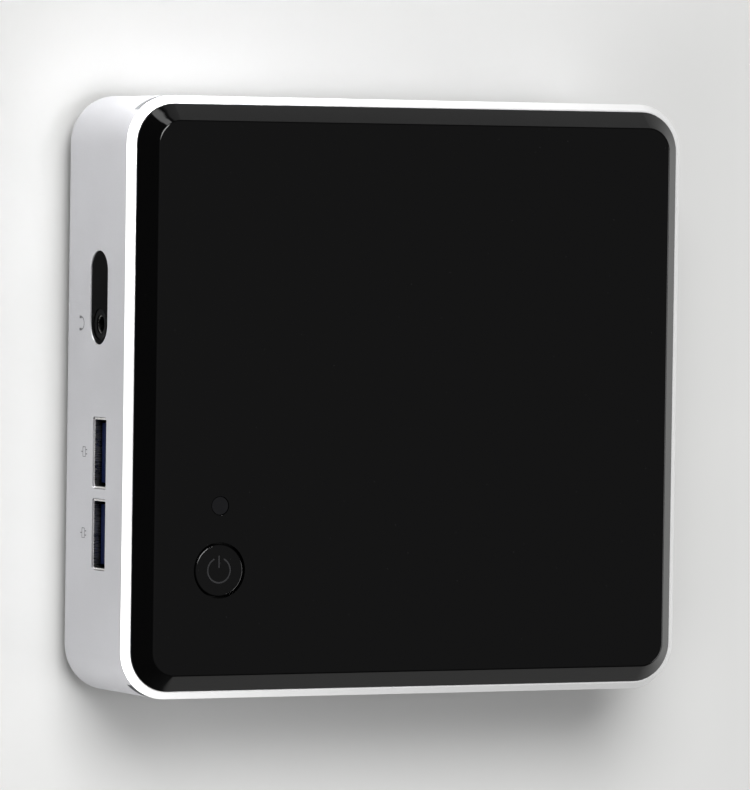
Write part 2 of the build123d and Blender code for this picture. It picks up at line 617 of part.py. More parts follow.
def fan_rotor():
    """The hub, a cup over the motor, and its backward-leaning blades."""
    low, high = FAN_LOW + 2.4, FAN_TOP - 1.3
    hub = disc(10.8, low, high) - disc(9.1, low - 1, high - 2.0)
    hub -= disc(1.65, low - 1, high - 1.2)
    hub = fillet(top_edges(hub), 0.8)
    ring = disc(FAN_R - 1.0, low, low + 0.8) - disc(9.6, low - 1, low + 2)
    rotor = hub + ring
    count, lean = 29, 34.0
    blade = Pos(17.6, 0, (low + high - 0.8) / 2) * Rot(0, 0, lean) * Box(24, 0.6, high - low - 0.8)
    blade &= disc(FAN_R - 1.0, low, high) - disc(10.4, low - 1, high + 1)
    for k in range(count):
        rotor += Rot(0, 0, 360 * k / count) * blade
    return Pos(*FAN_AT, 0) * rotor


def fan_lead():
    """The wire bundle from the blower to its header."""
    path = [(31.1, -22, 22.2), (34.0, -22, 22.2), (37.2, -19.5, 20.9), (38.9, -15.5, 20.1)]
    line = FilletPolyline(*path, radius=[1.6, 1.6])
    return sweep(Plane(origin=line @ 0, z_dir=line % 0) * Circle(0.7), line)


# ---------------------------------------------------------------- memory and cards
def memory_sockets():
    """Two stacked laptop memory sockets, the outer one standing behind the inner."""
    found = []
    for y0, y1, z0, z in DIMM_BAR.values():
        bar = block(-36.5, 36.5, y0, y1, z0, BOARD_LOW - SLIP)
        found.append(bar - block(-DIMM_HALF - 0.1, DIMM_HALF + 0.1, y0 - 1, y0 + 4.1, z - 0.6, z + 0.6))
    return found


def memory_module(which):
    """A memory board with four chips on each side; its edge sits in the socket."""
    y0, _, _, z = DIMM_BAR[which]
    edge = y0 + 4.0
    board = block(-DIMM_HALF, DIMM_HALF, edge - 30, edge, z - 0.5, z + 0.5)
    chips = []
    for k in range(4):
        x = (k - 1.5) * 16.0
        for way in (-1, 1):
            z0, z1 = sorted((z + way * (0.5 + SLIP), z + way * 1.45))
            chips.append(block(x - 5.5, x + 5.5, edge - 22, edge - 11, z0, z1))
    return [board, *chips]


def memory_latch(which, side):
    """The spring arm on one side of a socket that hooks over the module."""
    y0, _, _, z = DIMM_BAR[which]
    root, tip = y0 - 0.3, y0 - 0.3 - LATCH_LONG
    arm = block(34.2, 35.6, tip, root, z - 1.5, z + 1.5)
    hook = block(32.9, 34.3, tip, tip + 3.0, z - 1.5, z - 0.75)
    thumb = block(34.3, 36.6, tip, tip + 2.0, z - 1.5, z + 1.5)
    part = arm + hook + thumb
    return part if side > 0 else mirror(part, about=Plane.YZ)


def card_holes_y():
    return CARD_Y[0] + CARD_HOLE, CARD_Y[1] - CARD_HOLE


def card_ends():
    """The free end of each card, as (x, z of the card's middle)."""
    return (DRIVE_END - DRIVE_LONG, SSD_Z), (RADIO_END - RADIO_LONG, WIFI_Z)


def card_sockets():
    """The two edge sockets for the drive card and the radio card."""
    found = []
    for x, z, z0 in ((14.0, WIFI_Z, 9.0), (21.2, SSD_Z, 5.3)):
        bar = block(x, x + 6.4, CARD_Y[0] - 1, CARD_Y[1] + 1, z0, BOARD_LOW - SLIP)
        found.append(bar - block(x - 1, x + 3.1, CARD_Y[0] - 0.1, CARD_Y[1] + 0.1, z - 0.6, z + 0.6))
    return found


def card(x_end, long, z, chips):
    """A plug-in card that runs from its socket towards -X; chips are (x, y, wide, deep, high)."""
    board = block(x_end - long, x_end, *CARD_Y, z - 0.5, z + 0.5)
    for y in card_holes_y():
        board -= disc(1.3, z - 2, z + 2, x_end - long + CARD_HOLE, y)
    parts = [board]
    for x, y, wide, deep, high in chips:
        z1 = z - 0.5 - SLIP
        parts.append(block(x - wide / 2, x + wide / 2, y - deep / 2, y + deep / 2, z1 - high, z1))
    return parts


def drive_card():
    chips = [(-14.5, 16, 13, 9, 0.9), (-14.5, 30, 13, 9, 0.9), (6, 30, 13, 9, 0.9), (5, 16, 10, 9, 0.9)]
    return card(DRIVE_END, DRIVE_LONG, SSD_Z, chips)


def radio_card():
    return card(RADIO_END, RADIO_LONG, WIFI_Z, [(5, 23, 14, 16, 1.4)])


def card_standoffs():
    """Brass posts that carry the free ends of both cards."""
    found = []
    for x, z in card_ends():
        for y in card_holes_y():
            post = disc(2.1, z + 0.5 + SLIP, BOARD_LOW - SLIP, x + CARD_HOLE, y)
            found.append(post - disc(0.95, z, z + 3.0, x + CARD_HOLE, y))
    return found


def card_screws():
    small = {"head": 1.9, "head_high": 0.7, "shank": 0.9, "up": False}
    places = [(x + CARD_HOLE, y, z - 0.5 - SLIP) for x, z in card_ends() for y in card_holes_y()]
    return [screw(x, y, seat, 2.8, **small) for x, y, seat in places]


def drive_pad():
    """The grey heat pad on the cover that meets the drive card's chips."""
    return slab(44, 24, 1, PLATE_TOP, SSD_Z - 1.5, -1, 23.6)


def clock_battery():
    """The wrapped coin cell that keeps the clock, in its holder on the board."""
    return fillet(bottom_edges(disc(10.0, BOARD_LOW - 3.6, BOARD_LOW - 0.4, 39.4, 16.5)), 0.4)


# ---------------------------------------------------------------- the whole set
SINGLE = [
    aluminium_band, top_cover, top_shield, inner_frame, base_cover, feet, threaded_posts,
    vesa_inserts, rating_label, vent_grilles, port_plate, power_button, power_switch,
    switch_plunger, drive_light, usb_shells, usb_tongues, jack_window, audio_jack,
    infrared_receiver, lan_jack_shell, lan_jack_insert, lan_contacts, display_port_shell,
    display_port_tongue, hdmi_port_shell, hdmi_port_tongue, power_jack, power_jack_pin,
    motherboard, processor, board_parts, inner_screws, lid_screws, heat_plate, heat_pipe,
    fin_stack, fan_housing, fan_cover, fan_motor, fan_rotor, fan_lead, memory_sockets,
    card_sockets, drive_card, radio_card, card_standoffs, card_screws, drive_pad, clock_battery,
]


def pieces():
    """Every node's name and its solid, or its list of separate solids."""
    found = {make.__name__: make() for make in SINGLE}
    for name, (x, y) in zip(FOOT_NAMES, FOOT_AT):
        found["cover_screw_" + name] = cover_screw(x, y)
    for which in DIMM_BAR:
        found["memory_module_" + which] = memory_module(which)
        for side, word in ((-1, "left"), (1, "right")):
            found["memory_latch_" + which + "_" + word] = memory_latch(which, side)
    return found


def write(name, made):
    shape = Compound(children=list(made)) if isinstance(made, list) else made
    export_step(shape, os.path.join("parts", name + ".step"))


if __name__ == "__main__":
    os.makedirs("parts", exist_ok=True)
    for name, made in pieces().items():
        write(name, made)
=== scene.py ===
"""Looks of a palm-size desktop computer: materials, small details, light and camera, in metres."""

import json
import random
from math import asin, cos, degrees, pi, radians, sin

import bmesh
import bpy
from mathutils import Matrix, Vector


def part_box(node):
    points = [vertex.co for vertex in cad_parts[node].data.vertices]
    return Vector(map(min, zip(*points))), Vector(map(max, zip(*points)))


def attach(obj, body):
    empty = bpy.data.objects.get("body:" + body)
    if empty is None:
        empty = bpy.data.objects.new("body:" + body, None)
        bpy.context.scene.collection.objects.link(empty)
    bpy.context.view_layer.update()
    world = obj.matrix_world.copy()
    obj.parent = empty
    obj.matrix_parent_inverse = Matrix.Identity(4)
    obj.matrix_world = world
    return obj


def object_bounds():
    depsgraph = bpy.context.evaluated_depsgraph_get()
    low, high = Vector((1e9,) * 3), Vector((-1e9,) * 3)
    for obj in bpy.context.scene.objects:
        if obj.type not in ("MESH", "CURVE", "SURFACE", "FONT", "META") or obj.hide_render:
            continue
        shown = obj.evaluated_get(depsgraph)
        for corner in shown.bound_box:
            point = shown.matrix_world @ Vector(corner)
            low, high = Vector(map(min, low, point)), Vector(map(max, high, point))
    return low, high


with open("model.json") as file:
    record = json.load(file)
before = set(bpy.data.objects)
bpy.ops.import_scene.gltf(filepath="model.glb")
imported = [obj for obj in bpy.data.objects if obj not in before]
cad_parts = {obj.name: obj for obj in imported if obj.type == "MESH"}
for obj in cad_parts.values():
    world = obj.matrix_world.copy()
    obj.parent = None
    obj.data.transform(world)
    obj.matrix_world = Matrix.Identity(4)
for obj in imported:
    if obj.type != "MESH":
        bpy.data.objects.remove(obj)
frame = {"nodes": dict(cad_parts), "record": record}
CAD_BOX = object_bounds()
MM = 0.001

# ---------------------------------------------------------------- places, in the frame's metres
LOW, HIGH = CAD_BOX
FRONT_Y, BACK_Y = LOW.y, HIGH.y
RIM_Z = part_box("aluminium_band")[1].z
RIM_CUT = 1.25 * MM                      # height of the bright cut edge
FOOT_X, FOOT_Y = 44 * MM, 46 * MM
USB_FRONT_X = (10.65 * MM, 25.85 * MM)
USB_REAR_X = (-23.0 * MM, -38.6 * MM)
USB_Z = 19.4 * MM
MARK_RADIUS = 2.3 * MM                   # middle of the power symbol's ring
BUTTON_LOW, BUTTON_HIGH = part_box("power_button")
JACK_LOW, JACK_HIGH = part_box("audio_jack")
PILL_LOW, PILL_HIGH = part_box("jack_window")
LAN_LOW, LAN_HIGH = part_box("lan_jack_insert")
BOARD_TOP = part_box("motherboard")[1].z


def middle(low, high):
    return (low + high) / 2


# ---------------------------------------------------------------- material kit
class Surface:
    """A procedural material on a Principled shader; lengths in it are the frame's metres."""

    def __init__(self, name, color, rough, metallic=0.0, **fixed):
        self.material = bpy.data.materials.new(name)
        self.material.use_nodes = True
        self.tree = self.material.node_tree
        self.shader = self.tree.nodes["Principled BSDF"]
        self.set("Base Color", (*color, 1.0))
        self.set("Roughness", rough)
        self.set("Metallic", metallic)
        for word, value in fixed.items():
            self.set(word.replace("_", " "), value)
        self.place = self.add("ShaderNodeTexCoord").outputs["Object"]

    def set(self, socket, value):
        self.feed(self.shader.inputs[socket], value)

    def feed(self, socket, value):
        if isinstance(value, bpy.types.NodeSocket):
            self.tree.links.new(value, socket)
        else:
            socket.default_value = value

    def add(self, kind, inputs=None, **settings):
        node = self.tree.nodes.new(kind)
        for word, value in settings.items():
            setattr(node, word, value)
        for socket, value in (inputs or {}).items():
            self.feed(node.inputs[socket], value)
        return node

    def stretched(self, stretch):
        """The place with each axis scaled, so that a texture on it streaks."""
        sizes = {"Vector": self.place, "Scale": stretch}
        return self.add("ShaderNodeMapping", sizes).outputs["Vector"]

    def noise(self, size, detail=2.0, stretch=None, rough=0.5):
        """Noise with features of about that size, from 0 to 1."""
        place = self.stretched(stretch) if stretch else self.place
        inputs = {"Vector": place, "Scale": 1 / size, "Detail": detail, "Roughness": rough}
        return self.add("ShaderNodeTexNoise", inputs).outputs["Fac"]

    def cells(self, size):
        """The distance to the middle of the nearest cell, for scattered dots."""
        inputs = {"Vector": self.place, "Scale": 1 / size}
        return self.add("ShaderNodeTexVoronoi", inputs, feature="F1").outputs["Distance"]

    def math(self, operation, a, b=0.0, c=0.0):
        return self.add("ShaderNodeMath", {0: a, 1: b, 2: c}, operation=operation).outputs[0]

    def span(self, value, low, high, start=0.3, end=0.7):
        """value, which runs from start to end, spread over low to high."""
        inputs = {"Value": value, "From Min": start, "From Max": end, "To Min": low, "To Max": high}
        return self.add("ShaderNodeMapRange", inputs).outputs["Result"]

    def blend(self, mask, a, b):
        """Colour a where mask is 0 and b where it is 1."""
        def full(color):
            return color if isinstance(color, bpy.types.NodeSocket) else (*color, 1.0)
        inputs = {"Fac": mask, "Color1": full(a), "Color2": full(b)}
        return self.add("ShaderNodeMixRGB", inputs).outputs["Color"]

    def axis(self, name):
        return self.add("ShaderNodeSeparateXYZ", {"Vector": self.place}).outputs[name]

    def bump(self, height, depth, strength=1.0, after=None):
        """Relief of that depth; after is the normal of relief already there."""
        inputs = {"Height": height, "Distance": depth, "Strength": strength}
        if after is not None:
            inputs["Normal"] = after
        normal = self.add("ShaderNodeBump", inputs).outputs["Normal"]
        self.set("Normal", normal)
        return normal

    def vary(self, color, amount, mask):
        """The base colour drifts by that share between a darker and a lighter tone."""
        dark = [c * (1 - amount) for c in color]
        light = [min(1.0, c * (1 + amount)) for c in color]
        tone = self.blend(mask, dark, light)
        self.set("Base Color", tone)
        return tone


# ---------------------------------------------------------------- materials
def anodised_band():
    """Blasted and anodised aluminium, with a bright diamond-cut edge round the lid."""
    grey, bright = (0.50, 0.50, 0.52), (0.97, 0.97, 0.97)
    cut_metallic_loss = 0.55
    s = Surface("band_aluminium", grey, 0.4, metallic=1.0)
    cut = s.math("GREATER_THAN", s.axis("Z"), RIM_Z - RIM_CUT)
    grain = s.noise(0.16 * MM, detail=3)
    cloud = s.noise(22 * MM, detail=3)
    tone = s.blend(s.span(cloud, 0, 1), [c * 0.97 for c in grey], [c * 1.03 for c in grey])
    s.set("Base Color", s.blend(cut, tone, bright))
    blasted = s.math("ADD", s.span(grain, 0.40, 0.50), s.span(cloud, -0.02, 0.02))
    lines = s.noise(0.05 * MM, stretch=(0.05, 0.05, 3.0))
    polished = s.span(lines, 0.30, 0.42)
    mixed = s.add("ShaderNodeMix", {"Factor": cut, "A": blasted, "B": polished})
    s.set("Roughness", mixed.outputs["Result"])
    s.set("Metallic", s.math("SUBTRACT", 1.0, s.math("MULTIPLY", cut, cut_metallic_loss)))
    relief = s.math("MULTIPLY", grain, s.math("SUBTRACT", 1.0, cut))
    s.bump(relief, 0.012 * MM, 0.6)
    return s.material


def gloss_lid(name, base=0.0015):
    """High-gloss black moulding, with faint waviness, fine wiping marks and a little dust."""
    color = (base, base * 0.98, base * 1.02)
    s = Surface(name, color, 0.05, IOR=1.45)
    smear = s.noise(16 * MM, detail=4, stretch=(1.0, 0.45, 1.0))
    wiped = s.noise(1.2 * MM, detail=3, stretch=(0.08, 1.0, 1.0))
    dust = s.math("LESS_THAN", s.cells(2.6 * MM), 0.022)
    rough = s.math("ADD", s.span(smear, 0.045, 0.085), s.span(wiped, 0.0, 0.02))
    s.set("Roughness", s.math("ADD", rough, s.math("MULTIPLY", dust, 0.25)))
    s.set("Base Color", s.blend(dust, color, (0.03, 0.03, 0.03)))
    wave = s.bump(s.noise(14 * MM, detail=1), 0.02 * MM, 0.25)
    s.bump(s.noise(0.5 * MM, detail=2), 0.0012 * MM, 0.3, after=wave)
    return s.material


def moulded(name, color, rough=0.5, grain=0.35 * MM, depth=0.02 * MM, drift=0.12, **finish):
    """Spark-textured moulded plastic."""
    s = Surface(name, color, rough, **{"IOR": 1.48, **finish})
    pits = s.noise(grain, detail=4, rough=0.6)
    cloud = s.noise(9 * MM, detail=3)
    s.vary(color, drift, s.span(cloud, 0, 1))
    s.set("Roughness", s.math("ADD", s.span(pits, rough - 0.08, rough + 0.08), s.span(cloud, -0.03, 0.03)))
    s.bump(pits, depth, 0.5)
    return s.material


def sheet_metal(name, color, rough, stretch, depth=0.004 * MM, painted_shade_reach=None):
    """Rolled sheet with fine lines along one way and cloudy tarnish; painted shade, from ambient occlusion,
    darkens it in hollows within the given depth.
    """
    s = Surface(name, color, rough, metallic=1.0)
    lines = s.noise(0.12 * MM, detail=3, stretch=stretch)
    cloud = s.noise(3.5 * MM, detail=4)
    tone = s.vary(color, 0.10, s.span(cloud, 0, 1))
    if painted_shade_reach:
        # painted shade: where ambient occlusion finds surfaces close by, the colour falls towards 8% of its
        # tone
        open_air = s.add("ShaderNodeAmbientOcclusion", {"Distance": painted_shade_reach}).outputs["AO"]
        painted_shade_color = [c * 0.08 for c in color]
        s.set("Base Color", s.blend(s.span(open_air, 0, 1, 0.35, 0.85), painted_shade_color, tone))
    s.set("Roughness", s.math("ADD", s.span(lines, rough - 0.07, rough + 0.09), s.span(cloud, -0.04, 0.04)))
    s.bump(lines, depth, 0.5)
    return s.material


def turned(name, color, rough):
    """Machined or plated metal with turning marks."""
    s = Surface(name, color, rough, metallic=1.0)
    rings = s.noise(0.10 * MM, detail=2, stretch=(0.15, 0.15, 2.0))
    cloud = s.noise(1.6 * MM, detail=3)
    s.vary(color, 0.14, s.span(cloud, 0, 1))
    s.set("Roughness", s.math("ADD", s.span(rings, rough - 0.05, rough + 0.08), s.span(cloud, -0.04, 0.05)))
    s.bump(rings, 0.006 * MM, 0.5)
    return s.material


def powder_coat(name, color):
    """Fine black powder coat on steel."""
    s = Surface(name, color, 0.5, IOR=1.5, Coat_Weight=0.15, Coat_Roughness=0.35)
    orange_peel = s.noise(0.55 * MM, detail=3, rough=0.6)
    cloud = s.noise(12 * MM, detail=3)
    s.vary(color, 0.18, s.span(cloud, 0, 1))
    s.set("Roughness", s.span(orange_peel, 0.42, 0.60))
    s.bump(orange_peel, 0.03 * MM, 0.6)
    return s.material


def foot_rubber():
    """Matte rubber with ridges round each foot's middle."""
    color = (0.022, 0.022, 0.023)
    s = Surface("rubber_black", color, 0.75, IOR=1.5, Sheen_Weight=0.25)
    x = s.math("SUBTRACT", s.math("ABSOLUTE", s.axis("X")), FOOT_X)
    y = s.math("SUBTRACT", s.math("ABSOLUTE", s.axis("Y")), FOOT_Y)
    away = s.math("SQRT", s.math("ADD", s.math("MULTIPLY", x, x), s.math("MULTIPLY", y, y)))
    ridges = s.math("SINE", s.math("MULTIPLY", away, 2 * pi / (0.8 * MM)))
    dust = s.noise(1.4 * MM, detail=4)
    s.vary(color, 0.35, s.span(dust, 0, 1))
    s.set("Roughness", s.span(dust, 0.66, 0.86))
    rings = s.bump(ridges, 0.03 * MM, 0.5)
    s.bump(s.noise(0.2 * MM, detail=3), 0.01 * MM, 0.5, after=rings)
    return s.material


def circuit_board(name, mask_color, trace_color):
    """Solder mask over copper tracks, with small bright vias."""
    s = Surface(name, mask_color, 0.35, IOR=1.52, Coat_Weight=0.3, Coat_Roughness=0.2)
    warp = s.add("ShaderNodeTexBrick", {"Vector": s.place, "Scale": 1 / (3.2 * MM), "Mortar Size": 0.03},
                 offset=0.35, squash=1.6)
    tracks = warp.outputs["Fac"]
    finer = s.add("ShaderNodeTexBrick", {"Vector": s.stretched((0.6, 1.7, 1)), "Scale": 1 / (1.1 * MM),
                                         "Mortar Size": 0.05}, offset=0.5)
    lines = s.math("MAXIMUM", tracks, s.math("MULTIPLY", finer.outputs["Fac"], 0.6))
    vias = s.math("LESS_THAN", s.cells(2.4 * MM), 0.10)
    tone = s.blend(lines, mask_color, trace_color)
    s.set("Base Color", s.blend(vias, tone, (0.62, 0.58, 0.45)))
    s.set("Metallic", s.math("MULTIPLY", vias, 0.8))
    s.set("Roughness", s.span(s.noise(2 * MM, detail=3), 0.28, 0.44))
    s.bump(lines, 0.02 * MM, 0.5)
    return s.material


def smoked(name, color, rough, **finish):
    """Dark tinted clear plastic with a gloss skin."""
    s = Surface(name, color, rough, **{"IOR": 1.5, "Coat_Weight": 0.5, "Coat_Roughness": 0.04, **finish})
    swirl = s.noise(2.2 * MM, detail=4)
    s.vary(color, 0.25, s.span(swirl, 0, 1))
    s.set("Roughness", s.span(swirl, rough, rough + 0.06))
    s.bump(s.noise(0.8 * MM, detail=2), 0.002 * MM, 0.3)
    return s.material


def blank_label():
    """A silver-grey sticker with an empty printed frame."""
    low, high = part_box("rating_label")
    mid, half = middle(low, high), (high - low) / 2
    paper, ink = (0.52, 0.53, 0.55), (0.12, 0.12, 0.13)
    s = Surface("label_paper", paper, 0.45, IOR=1.45)
    x = s.math("SUBTRACT", half.x, s.math("ABSOLUTE", s.math("SUBTRACT", s.axis("X"), mid.x)))
    y = s.math("SUBTRACT", half.y, s.math("ABSOLUTE", s.math("SUBTRACT", s.axis("Y"), mid.y)))
    inset = s.math("MINIMUM", x, y)
    ring = s.math("COMPARE", inset, 1.8 * MM, 0.18 * MM)
    fibre = s.noise(0.4 * MM, detail=4)
    tone = s.blend(s.span(fibre, 0, 1), [c * 0.94 for c in paper], paper)
    s.set("Base Color", s.blend(ring, tone, ink))
    s.set("Roughness", s.span(fibre, 0.38, 0.55))
    s.bump(fibre, 0.01 * MM, 0.4)
    return s.material


def printed(name, color):
    """Thin matte ink."""
    s = Surface(name, color, 0.6, IOR=1.45)
    s.vary(color, 0.2, s.noise(0.3 * MM, detail=3))
    s.set("Roughness", s.span(s.noise(0.25 * MM), 0.5, 0.7))
    return s.material


def make_surfaces():
    """One material for each slot in the record, and a few for details."""
    along_x, along_y = (0.08, 1.0, 1.0), (1.0, 0.08, 1.0)
    return {
        "band_aluminium": anodised_band(),
        "lid_gloss": gloss_lid("lid_gloss"),
        "button_gloss": gloss_lid("button_gloss", 0.0025),
        "clear_guide": smoked("clear_guide", (0.004, 0.004, 0.005), 0.10, Coat_Weight=0.2),
        "smoked_window": smoked("smoked_window", (0.0012, 0.0012, 0.0015), 0.15, Coat_Weight=0.0,
                                Specular_IOR_Level=0.006),
        "jack_black": moulded("jack_black", (0.004, 0.004, 0.0045), 0.4, Specular_IOR_Level=0.02),
        "steel_sheet": sheet_metal("steel_sheet", (0.60, 0.60, 0.59), 0.34, along_x),
        "socket_steel": sheet_metal("socket_steel", (0.62, 0.61, 0.60), 0.28, along_y, painted_shade_reach=5 * MM),
        "screw_steel": turned("screw_steel", (0.50, 0.50, 0.51), 0.32),
        "black_steel": powder_coat("black_steel", (0.018, 0.018, 0.019)),
        "black_plastic": moulded("black_plastic", (0.016, 0.016, 0.017), 0.5),
        "dark_plastic": moulded("dark_plastic", (0.028, 0.028, 0.030), 0.46),
        "blue_plastic": moulded("blue_plastic", (0.0015, 0.010, 0.07), 0.45, 0.25 * MM, 0.002 * MM, 0.05,
                                Specular_IOR_Level=0.1),
        "rubber_black": foot_rubber(),
        "brass": turned("brass", (0.66, 0.46, 0.19), 0.28),
        "gold": turned("gold", (0.83, 0.58, 0.22), 0.2),
        "board_blue": circuit_board("board_blue", (0.008, 0.035, 0.085), (0.016, 0.065, 0.14)),
        "board_green": circuit_board("board_green", (0.008, 0.07, 0.032), (0.02, 0.12, 0.055)),
        "chip_grey": moulded("chip_grey", (0.035, 0.035, 0.038), 0.42, 0.2 * MM, 0.008 * MM),
        "copper": turned("copper", (0.70, 0.33, 0.19), 0.3),
        "fin_metal": sheet_metal("fin_metal", (0.72, 0.72, 0.73), 0.3, along_x),
        "label_paper": blank_label(),
        "pad_grey": moulded("pad_grey", (0.20, 0.22, 0.27), 0.7, 0.6 * MM, 0.05 * MM),
        "cell_wrap": smoked("cell_wrap", (0.015, 0.02, 0.035), 0.3),
        "light_left": smoked("light_left", (0.42, 0.22, 0.03), 0.15),
        "light_right": smoked("light_right", (0.10, 0.30, 0.06), 0.15),
        "symbol_ink": printed("symbol_ink", (0.16, 0.16, 0.17)),
        "button_ink": printed("button_ink", (0.022, 0.022, 0.024)),
    }


SURFACES = make_surfaces()


def smooth_by_angle():
    """A node modifier: joins the frame's split points, then shades smooth except at real edges."""
    group = bpy.data.node_groups.new("smooth_by_angle", "GeometryNodeTree")
    group.interface.new_socket("Geometry", in_out="INPUT", socket_type="NodeSocketGeometry")
    group.interface.new_socket("Geometry", in_out="OUTPUT", socket_type="NodeSocketGeometry")
    add, link = group.nodes.new, group.links.new
    start, end = add("NodeGroupInput"), add("NodeGroupOutput")
    merge = add("GeometryNodeMergeByDistance")
    merge.inputs["Distance"].default_value = 0.0005 * MM
    faces = add("GeometryNodeSetShadeSmooth")
    edges = add("GeometryNodeSetShadeSmooth")
    edges.domain = "EDGE"
    angle = add("GeometryNodeInputMeshEdgeAngle")
    sharp = add("FunctionNodeCompare")
    sharp.operation = "GREATER_THAN"
    sharp.inputs["B"].default_value = radians(24)
    edges.inputs["Shade Smooth"].default_value = False
    link(start.outputs[0], merge.inputs["Geometry"])
    link(merge.outputs["Geometry"], faces.inputs["Geometry"])
    link(faces.outputs["Geometry"], edges.inputs["Geometry"])
    link(angle.outputs["Unsigned Angle"], sharp.inputs["A"])
    link(sharp.outputs["Result"], edges.inputs["Selection"])
    link(edges.outputs["Geometry"], end.inputs[0])
    return group


SMOOTH = smooth_by_angle()


def shade(thing):
    thing.modifiers.new("smooth_by_angle", "NODES").node_group = SMOOTH
    soften = thing.modifiers.new("weighted_normals", "WEIGHTED_NORMAL")
    soften.keep_sharp = True


OWN_FINISH = {"audio_jack": "jack_black"}    # nodes with a finish other than their slot's


def dress_frame():
    """Gives every CAD node its material and clean shading."""
    for entry in frame["record"]["subparts"]:
        node = frame["nodes"][entry["node"]]
        finish = OWN_FINISH.get(entry["node"], entry["material_slot"])
        node.data.materials.clear()
        node.data.materials.append(SURFACES[finish])
        shade(node)


dress_frame()


# ---------------------------------------------------------------- mesh kit
def piece(name, mesh, surface, body):
    """A finished mesh as a piece that rides on a body."""
    data = bpy.data.meshes.new(name)
    mesh.normal_update()
    mesh.to_mesh(data)
    mesh.free()
    thing = bpy.data.objects.new(name, data)
    bpy.context.scene.collection.objects.link(thing)
    data.materials.append(SURFACES[surface])
    shade(thing)
    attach(thing, body)
    return thing


def add_block(mesh, low, high, round_off=0.0):
    """A box between two corners, its edges rounded off."""
    low, high = Vector(low), Vector(high)
    made = bmesh.ops.create_cube(mesh, size=1.0)["verts"]
    size = high - low
    bmesh.ops.scale(mesh, vec=size, verts=made)
    bmesh.ops.translate(mesh, vec=middle(low, high), verts=made)
    if round_off:
        edges = {edge for vert in made for edge in vert.link_edges}
        bmesh.ops.bevel(mesh, geom=list(edges), offset=round_off, segments=2, profile=0.5, affect="EDGES")


def add_ring(mesh, centre, inner, outer, depth, facing, steps=48):
    """A flat ring with rounded lips; facing turns its own Z to where it faces."""
    lip = (outer - inner) * 0.25
    section = [(inner, 0), (inner, depth - lip), (inner + lip, depth), (outer - lip, depth),
               (outer, depth - lip), (outer, 0)]
    turn = facing.to_track_quat("Z", "Y").to_matrix()
    loops = []
    for k in range(steps):
        a = 2 * pi * k / steps
        points = [turn @ Vector((r * cos(a), r * sin(a), h)) + centre for r, h in section]
        loops.append([mesh.verts.new(p) for p in points])
    for k, loop in enumerate(loops):
        following = loops[(k + 1) % steps]
        for j, vert in enumerate(loop):
            n = (j + 1) % len(loop)
            mesh.faces.new((vert, following[j], following[n], loop[n]))


def add_stroke(mesh, points, width, depth, place):
    """A flat ribbon through points in a plane; place puts (u, v, height) in the frame."""
    sides = []
    count = len(points)
    for k, (u, v) in enumerate(points):
        back = Vector(points[max(k - 1, 0)])
        ahead = Vector(points[min(k + 1, count - 1)])
        way = (ahead - back).normalized()
        side = Vector((-way.y, way.x)) * width / 2
        ring = []
        for sign, height in ((1, 0.0), (1, depth), (-1, depth), (-1, 0.0)):
            ring.append(mesh.verts.new(place(u + sign * side.x, v + sign * side.y, height)))
        sides.append(ring)
    for a, b in zip(sides, sides[1:]):
        for j in range(4):
            n = (j + 1) % 4
            mesh.faces.new((a[j], a[n], b[n], b[j]))
    mesh.faces.new(sides[0][::-1])
    mesh.faces.new(sides[-1])


def arc(radius, start, end, steps=28, centre=(0.0, 0.0)):
    """Points of an arc, its ends in degrees."""
    angles = [radians(start + (end - start) * k / steps) for k in range(steps + 1)]
    return [(centre[0] + radius * cos(a), centre[1] + radius * sin(a)) for a in angles]


# ---------------------------------------------------------------- details on the outside
def power_symbol():
    """The ring and bar filled into the button's engraved mark."""
    mid = middle(BUTTON_LOW, BUTTON_HIGH)
    floor_z = BUTTON_HIGH.z - 0.22 * MM
    wide, depth = 0.30 * MM, 0.13 * MM
    half_gap = 0.93 * MM
    bar_start, bar_end = -MARK_RADIUS - 0.46 * MM, -0.44 * MM

    def place(u, v, height):
        return Vector((mid.x + u, mid.y + v, floor_z + height))

    mesh = bmesh.new()
    gap = degrees(asin(half_gap / MARK_RADIUS))
    add_stroke(mesh, arc(MARK_RADIUS, -180 + gap, 180 - gap, 40), wide, depth, place)
    add_stroke(mesh, [(bar_start, 0), (bar_end, 0)], wide, depth, place)
    piece("power_symbol", mesh, "button_ink", "button")


def front_place(x, z):
    """Puts a mark on the band's front, with u to the right and v up."""
    sunk, ink = 0.004 * MM, 0.008 * MM

    def place(u, v, height):
        return Vector((x + u, FRONT_Y + sunk - height * ink, z + v))

    return place


def front_marks():
    """Small printed symbols under the front sockets: headphones, and a plug under each USB port."""
    mesh = bmesh.new()
    line, ear_line, full = 0.22 * MM, 0.48 * MM, 1.0
    ear = 1.15 * MM
    plug_body = [(-0.9, -0.7), (0.9, -0.7), (0.9, 0.5), (-0.9, 0.5), (-0.9, -0.7)]
    plug_lines = [plug_body, [(-0.4, 0.5), (-0.4, 1.25)], [(0.4, 0.5), (0.4, 1.25)], [(0, -0.7), (0, -1.4)]]
    heads = front_place(middle(JACK_LOW, JACK_HIGH).x, 10.6 * MM)
    add_stroke(mesh, arc(ear, 0, 180), line, full, heads)
    for side in (-1, 1):
        add_stroke(mesh, [(side * ear, 0), (side * ear, -0.95 * MM)], ear_line, full, heads)
    for x in USB_FRONT_X:
        plug = front_place(x, 12.6 * MM)
        for points in plug_lines:
            add_stroke(mesh, [(u * MM, v * MM) for u, v in points], line, full, plug)
    piece("front_marks", mesh, "symbol_ink", "chassis")


def headphone_ring():
    """The plated contact ring just inside the headphone socket."""
    inner, outer, depth, inside = 1.60 * MM, 1.79 * MM, 0.9 * MM, 1.22 * MM
    x, z = middle(JACK_LOW, JACK_HIGH).x, middle(PILL_LOW, PILL_HIGH).z
    mesh = bmesh.new()
    add_ring(mesh, Vector((x, JACK_LOW.y + inside, z)), inner, outer, depth, Vector((0, -1, 0)))
    piece("headphone_ring", mesh, "socket_steel", "chassis")


